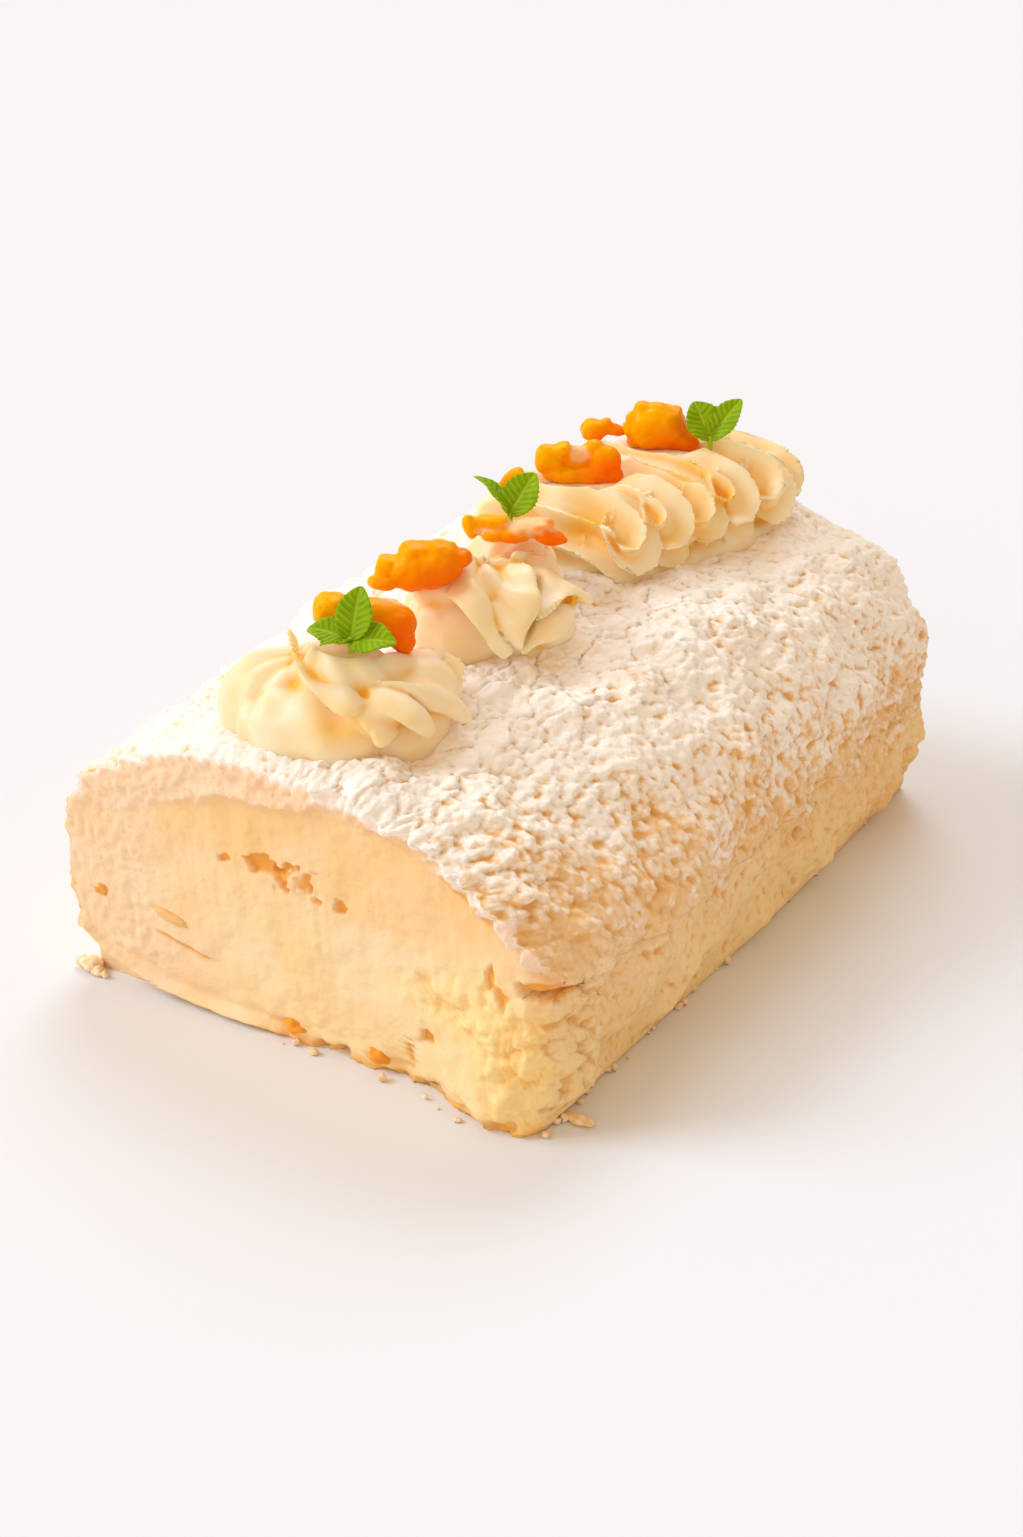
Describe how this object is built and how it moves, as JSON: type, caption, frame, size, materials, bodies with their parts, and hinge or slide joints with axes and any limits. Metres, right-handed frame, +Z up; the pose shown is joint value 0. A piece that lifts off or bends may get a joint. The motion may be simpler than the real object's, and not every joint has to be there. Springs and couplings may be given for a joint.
{
  "type": "meringue roulade",
  "caption": "Rolled meringue cake with a cream filling, a cut end, and piped cream with fruit slices and mint along the top.",
  "frame": {"origin": "middle of the underside", "axes": "+Z up, +Y along the roll from its cut end to its far end, +X towards the side with the seam"},
  "size_m": [0.1595, 0.2203, 0.1229],
  "materials": {
    "meringue": "matte, dusted with icing sugar",
    "cream_filling": "satin",
    "whipped_cream": "soft satin",
    "fruit": "moist gloss",
    "mint": "satin leaf"
  },
  "bodies": {
    "root": {"meringue_sheet": "meringue", "cream_filling": "cream_filling", "cut_fruit_1": "fruit", "cut_fruit_2": "fruit", "cut_fruit_3": "fruit", "cut_fruit_4": "fruit", "piped_cream_front": "whipped_cream", "piped_cream_middle": "whipped_cream", "piped_cream_back": "whipped_cream", "fruit_1": "fruit", "fruit_2": "fruit", "fruit_3": "fruit", "fruit_4": "fruit", "fruit_5": "fruit", "fruit_6": "fruit", "fruit_7": "fruit", "mint_front": "mint", "mint_middle": "mint", "mint_back": "mint"}
  },
  "joints": []
}
